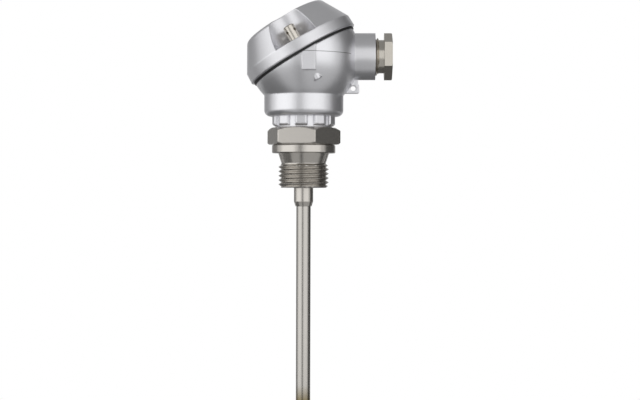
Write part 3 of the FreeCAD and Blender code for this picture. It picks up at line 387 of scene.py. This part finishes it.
# The maker of each material slot's finish. The comments say what a finish gives the eye.
FINISHES = {
    "cast_paint": silver_stove_enamel,
    "stainless": turned_stainless,
    # Nickel plate, dull: a warm, slightly blurred mirror.
    "nickel": lambda: plain_finish("nickel_plated_brass", "nickel", 0.6, 0.05, Metallic=1.0, Roughness=0.22),
    # Moulded rubber: near black with a soft, wide sheen.
    "rubber_black": lambda: plain_finish("moulded_rubber", "rubber", 0.3, 0.3, Roughness=0.55),
    # Milled brass: yellow metal with fine tool marks.
    "brass": lambda: plain_finish("milled_brass", "brass", 0.25, 0.15, Metallic=1.0, Roughness=0.3),
    # Spring steel: grey and satin.
    "spring_steel": lambda: plain_finish("spring_steel", "spring", 0.3, 0.1, Metallic=1.0, Roughness=0.35),
    # Fired steatite: cream and faintly grainy.
    "steatite": lambda: plain_finish("fired_steatite", "steatite", 0.2, 0.2, Roughness=0.5),
    # Vulcanised fibre: matt red-brown.
    "fibre": lambda: plain_finish("vulcanised_fibre", "fibre", 0.25, 0.3, Roughness=0.7),
    # Casting resin: black and glossy, a little uneven.
    "resin": lambda: plain_finish("casting_resin", "resin", 1.0, 0.1, Roughness=0.2),
    # Extruded fluoropolymer: smooth, waxy and evenly coloured.
    "lead_red": lambda: plain_finish("red_fluoropolymer", "lead_red", 0.5, 0.05, Roughness=0.35),
    "lead_white": lambda: plain_finish("white_fluoropolymer", "lead_white", 0.5, 0.05, Roughness=0.35),
}


class PROBE_OT_finishes(bpy.types.Operator):
    """Give each CAD node the finish of its material slot"""

    bl_idname = "probe.finishes"
    bl_label = "Finishes"

    def execute(self, context):
        made = {slot: build() for slot, build in FINISHES.items()}
        special = dict.fromkeys(("protection_tube", "tube_tip"), drawn_stainless_tube())
        # The housing's enamel gets a thin line of painted shade at the mould's parting line.
        special["head_housing"] = silver_stove_enamel("silver_stove_enamel_housing", painted_seam_shade=True)
        for part in frame["record"]["subparts"]:
            material = special.get(part["node"], made[part["material_slot"]])
            for piece in bpy.data.objects:
                if piece.get("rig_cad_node") == part["node"] or part["node"] in piece.get("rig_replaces", []):
                    piece.data.materials.clear()
                    piece.data.materials.append(material)
        return {"FINISHED"}


def helix_surface(pitch, crest, low, high, lift):
    """An open mesh: the thread's flanks round Z, wider than the stretch from low to high."""
    sizes = bpy.context.scene.probe_threads
    depth = sizes.depth_share * pitch
    flat = sizes.land_share / 2
    flank = 0.5 - sizes.land_share
    profile = [(0.0, 0.0), (flat, 0.0)]
    profile += [(flat + flank * step / 3, depth * step / 3) for step in (1, 2, 3)]
    profile += [(0.5 + flat + flank * step / 3, depth * (3 - step) / 3) for step in (0, 1, 2)]
    mesh = bmesh.new()
    columns = sizes.columns
    rows = []
    for turn in range(math.floor(low / pitch) - 2, math.ceil(high / pitch) + 2):
        for share, fall in profile:
            row = []
            for column in range(columns):
                angle = column / columns * math.tau
                height = (turn + share + column / columns) * pitch + lift
                reach = crest - fall
                row.append(mesh.verts.new((reach * math.cos(angle), reach * math.sin(angle), height)))
            rows.append(row)
    step = len(profile)
    for at in range(len(rows) - 1 - step):
        for column in range(columns):
            if column < columns - 1:
                near, far = rows[at], rows[at + 1]
                quad = (near[column], near[column + 1], far[column + 1], far[column])
            else:
                quad = (rows[at][column], rows[at + step][0], rows[at + step + 1][0], rows[at + 1][column])
            mesh.faces.new(quad)
    for side, height in ((-1, low), (1, high)):
        bmesh.ops.bisect_plane(
            mesh, geom=mesh.verts[:] + mesh.edges[:] + mesh.faces[:],
            plane_co=(0, 0, height), plane_no=(0, 0, side), clear_outer=True)
    return mesh


def thread_cutter(name, pitch, crest, low, high, lift):
    """A closed sleeve round Z whose inner side is the thread: what the die takes off a plain shank."""
    mesh = helix_surface(pitch, crest, low, high, lift)
    wall = 1.0 * MM
    rim = [edge for edge in mesh.edges if edge.is_boundary]
    made = bmesh.ops.extrude_edge_only(mesh, edges=rim)["geom"]
    for vert in (item for item in made if isinstance(item, bmesh.types.BMVert)):
        flat = Vector((vert.co.x, vert.co.y, 0)).normalized() * (crest + wall)
        vert.co = (flat.x, flat.y, vert.co.z)
    walls = [edge for edge in mesh.edges if edge.is_boundary]
    bmesh.ops.bridge_loops(mesh, edges=walls)
    bmesh.ops.recalc_face_normals(mesh, faces=mesh.faces[:])
    data = bpy.data.meshes.new(name)
    mesh.to_mesh(data)
    mesh.free()
    cutter = bpy.data.objects.new(name, data)
    bpy.context.scene.collection.objects.link(cutter)
    return cutter


def keep_normals(mesh, plain, in_thread):
    """Gives every face outside the thread the corner normals of the plain solid, so that flats stay flat."""
    tree = KDTree(len(plain.loops))
    for loop in plain.loops:
        tree.insert(plain.vertices[loop.vertex_index].co, loop.index)
    tree.balance()
    known = [corner.vector.copy() for corner in plain.corner_normals]
    same_place = 0.002 * MM
    normals = [Vector((0, 0, 0))] * len(mesh.loops)  # a zero leaves the corner's own normal
    for face in mesh.polygons:
        if in_thread(face.center):
            continue
        for index in face.loop_indices:
            corner = mesh.vertices[mesh.loops[index].vertex_index].co
            near = [known[item[1]] for item in tree.find_range(corner, same_place)]
            if near:
                normals[index] = max(near, key=face.normal.dot)
    mesh.normals_split_custom_set(normals)


def cut_thread(name, node, pitch, crest, low, high, lift=0.0, place=Matrix()):
    """A copy of a CAD node with a thread cut between two heights of its shank, standing for the node."""
    cutter = thread_cutter(name + "_cutter", pitch, crest, low, high, lift)
    cutter.data.transform(place)
    data = nodes[node].data.copy()
    piece = bpy.data.objects.new(name, data)
    bpy.context.scene.collection.objects.link(piece)
    mesh = bmesh.new()
    mesh.from_mesh(data)
    bmesh.ops.remove_doubles(mesh, verts=mesh.verts[:], dist=1e-7)
    mesh.to_mesh(data)
    mesh.free()
    cut = piece.modifiers.new("Thread", "BOOLEAN")
    cut.operation = "DIFFERENCE"
    cut.solver = "EXACT"
    cut.object = cutter
    bpy.context.view_layer.update()
    graph = bpy.context.evaluated_depsgraph_get()
    done = bpy.data.meshes.new_from_object(piece.evaluated_get(graph))
    piece.modifiers.clear()
    piece.data = done
    done.name = name
    bpy.data.objects.remove(cutter)
    if len(done.polygons) <= len(nodes[node].data.polygons):
        raise RuntimeError(f"{name} gained no faces when its thread was cut")
    done.shade_smooth()
    done.set_sharp_from_angle(angle=THREAD_CORNER)
    back = place.inverted()
    below_root = crest - bpy.context.scene.probe_threads.depth_share * pitch - 0.05 * MM

    def in_thread(point):
        spot = back @ point
        return low < spot.z < high and spot.xy.length > below_root

    keep_normals(done, nodes[node].data, in_thread)
    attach(piece, nodes[node]["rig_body"])
    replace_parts(piece, node)
    return piece


class PROBE_OT_process_thread(bpy.types.Operator):
    """Cut the parallel pipe thread into the process fitting"""

    bl_idname = "probe.process_thread"
    bl_label = "Process thread"

    def execute(self, context):
        sizes = context.scene.probe_threads
        piece = cut_thread(
            "process_fitting_threaded", "process_fitting", sizes.process_pitch, sizes.process_radius,
            -sizes.process_end - sizes.run_out, -sizes.process_top + sizes.run_out, sizes.process_start)
        return {"FINISHED"}


class PROBE_OT_gland_thread(bpy.types.Operator):
    """Cut the pressure screw's thread, which shows for two turns behind its hexagon"""

    bl_idname = "probe.gland_thread"
    bl_label = "Gland thread"

    def execute(self, context):
        sizes = context.scene.probe_threads
        low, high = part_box("gland_screw")
        axis = (low + high) / 2
        lie = Matrix.Translation((0, axis.y, axis.z)) @ Matrix.Rotation(math.pi / 2, 4, "Y")
        piece = cut_thread(
            "gland_screw_threaded", "gland_screw", sizes.gland_pitch, sizes.gland_radius,
            low.x - sizes.run_out, low.x + sizes.gland_shank, place=lie)
        return {"FINISHED"}


def stage_mesh(name, verts, faces, material):
    """A stage object: a card or the floor."""
    data = bpy.data.meshes.new(name)
    data.from_pydata(verts, [], faces)
    data.materials.append(material)
    card = bpy.data.objects.new(name, data)
    bpy.context.scene.collection.objects.link(card)
    return card


def glow(name, level):
    """An even light of that level, where 1 is white."""
    material = bpy.data.materials.new(name)
    material.use_nodes = True
    tree = material.node_tree
    tree.nodes.clear()
    light = add(tree, "ShaderNodeEmission", {"Strength": level})
    add(tree, "ShaderNodeOutputMaterial", {"Surface": light.outputs["Emission"]})
    return material


def bent_card(name, level, start, end, near_edge, far_edge):
    """A card bent round the object, upright or level, that the camera doesn't see. Its two ends are degrees
    from the camera towards the cable entry, and each of its edges has a reach from the axis and a height."""
    steps = max(2, round(abs(end - start) / 6))
    verts = []
    for step in range(steps + 1):
        turn = math.radians(start + (end - start) * step / steps)
        for reach, height in (near_edge, far_edge):
            verts.append((reach * math.sin(turn), -reach * math.cos(turn), height))
    faces = [(2 * s, 2 * s + 1, 2 * s + 3, 2 * s + 2) for s in range(steps)]
    card = stage_mesh(name, verts, faces, glow(name + "_glow", level))
    card.visible_camera = False
    card.visible_shadow = False
    return card


def seen_directly(tree):
    """1 for rays from the camera and for those that metal or glass sends on, else 0."""
    path = add(tree, "ShaderNodeLightPath")
    seen = add(tree, "ShaderNodeMath", {
        0: path.outputs["Is Camera Ray"], 1: path.outputs["Is Glossy Ray"]}, operation="ADD")
    seen = add(tree, "ShaderNodeMath", {
        0: seen.outputs[0], 1: path.outputs["Is Transmission Ray"]}, operation="ADD", use_clamp=True)
    return seen.outputs[0]


class PROBE_OT_studio(bpy.types.Operator):
    """Set up the camera, the soft light, its dark flags and the floor"""

    bl_idname = "probe.studio"
    bl_label = "Studio"

    def execute(self, context):
        sizes = context.scene.probe_studio
        self.camera(context.scene, sizes)
        self.world(context.scene)
        self.cards(sizes)
        self.floor(sizes)
        context.scene.view_settings.view_transform = "Standard"
        return {"FINISHED"}

    def camera(self, scene, sizes):
        data = bpy.data.cameras.new("camera")
        data.lens = sizes.camera_lens
        data.sensor_width = 36
        data.clip_start = 0.01
        data.clip_end = 30
        camera = bpy.data.objects.new("camera", data)
        scene.collection.objects.link(camera)
        place = Vector(sizes.camera_place)
        look = (Vector(sizes.camera_aim) - place).to_track_quat("-Z", "Y")
        camera.matrix_world = (
            Matrix.Translation(place) @ look.to_matrix().to_4x4()
            @ Matrix.Rotation(sizes.camera_roll, 4, "Z"))
        scene.camera = camera

    def world(self, scene):
        world = bpy.data.worlds.new("studio")
        scene.world = world
        world.use_nodes = True
        tree = world.node_tree
        tree.nodes.clear()
        # A dim fill behind the cards for the object, and plain white for the eye.
        dim = add(tree, "ShaderNodeBackground", {"Strength": 0.35})
        white = add(tree, "ShaderNodeBackground", {"Strength": 1.0})
        for node in (dim, white):
            node.inputs["Color"].default_value = (1, 1, 1, 1)
        both = add(tree, "ShaderNodeMixShader", {
            0: seen_directly(tree), 1: dim.outputs[0], 2: white.outputs[0]})
        add(tree, "ShaderNodeOutputWorld", {"Surface": both.outputs[0]})

    def cards(self, sizes):
        radius, foot, head = sizes.dome_radius, sizes.bank_foot, sizes.bank_head
        for name, level, start, end in CARDS:
            bent_card(name, level, start, end, (radius, foot), (radius, head))
        bent_card("skirt", 0.3, -180, 180, (radius, sizes.skirt_foot), (radius, foot))
        bent_card("ceiling", 0.34, -180, 180, (0.0, head), (radius, head))
        table = CAD_BOX[0].z - sizes.table_drop
        for name, level, start, end, near, height in (
                ("table_left", 0.5, -64, -16, 0.1, table),
                ("table_right", 0.5, -3, 90, 0.1, table),
                ("table_flag", 0.12, -180, 180, 0.0, table - 5 * MM)):
            card = bent_card(name, level, start, end, (near, height), (sizes.table_reach, height))
            card.visible_diffuse = False

    def floor(self, sizes):
        height = CAD_BOX[0].z - sizes.floor_drop
        half = sizes.floor_half
        material = bpy.data.materials.new("floor")
        material.use_nodes = True
        tree = material.node_tree
        tree.nodes.clear()
        grey = add(tree, "ShaderNodeBsdfDiffuse")
        grey.inputs["Color"].default_value = (0.5, 0.5, 0.5, 1)
        # What the lit grey lacks to white. The object's shadow on the grey stays.
        white = add(tree, "ShaderNodeEmission", {"Strength": 0.75})
        lit = add(tree, "ShaderNodeMixShader", {0: seen_directly(tree), 2: white.outputs[0]})
        both = add(tree, "ShaderNodeAddShader", {0: grey.outputs[0], 1: lit.outputs[0]})
        add(tree, "ShaderNodeOutputMaterial", {"Surface": both.outputs[0]})
        stage_mesh(
            "floor", [(x * half, y * half, height) for x, y in ((-1, -1), (1, -1), (1, 1), (-1, 1))],
            [(0, 1, 2, 3)], material)


class PROBE_PT_panel(bpy.types.Panel):
    """Lists the steps that dress the probe"""

    bl_label = "Temperature probe"
    bl_idname = "PROBE_PT_panel"
    bl_space_type = "VIEW_3D"
    bl_region_type = "UI"
    bl_category = "Probe"

    def draw(self, context):
        for step in STEPS:
            self.layout.operator(step.bl_idname)


STEPS = (
    PROBE_OT_process_thread,
    PROBE_OT_gland_thread,
    PROBE_OT_finishes,
    PROBE_OT_studio,
)
CLASSES = (FinishColours, CastingSizes, ThreadSizes, StudioSizes, *STEPS, PROBE_PT_panel)


def register():
    for item in CLASSES:
        bpy.utils.register_class(item)
    bpy.types.Scene.probe_colours = PointerProperty(type=FinishColours)
    bpy.types.Scene.probe_casting = PointerProperty(type=CastingSizes)
    bpy.types.Scene.probe_threads = PointerProperty(type=ThreadSizes)
    bpy.types.Scene.probe_studio = PointerProperty(type=StudioSizes)


def unregister():
    del bpy.types.Scene.probe_studio
    del bpy.types.Scene.probe_threads
    del bpy.types.Scene.probe_casting
    del bpy.types.Scene.probe_colours
    for item in reversed(CLASSES):
        bpy.utils.unregister_class(item)


def main():
    register()
    for step in STEPS:
        category, name = step.bl_idname.split(".")
        getattr(getattr(bpy.ops, category), name)()


if __name__ == "__main__":
    main()
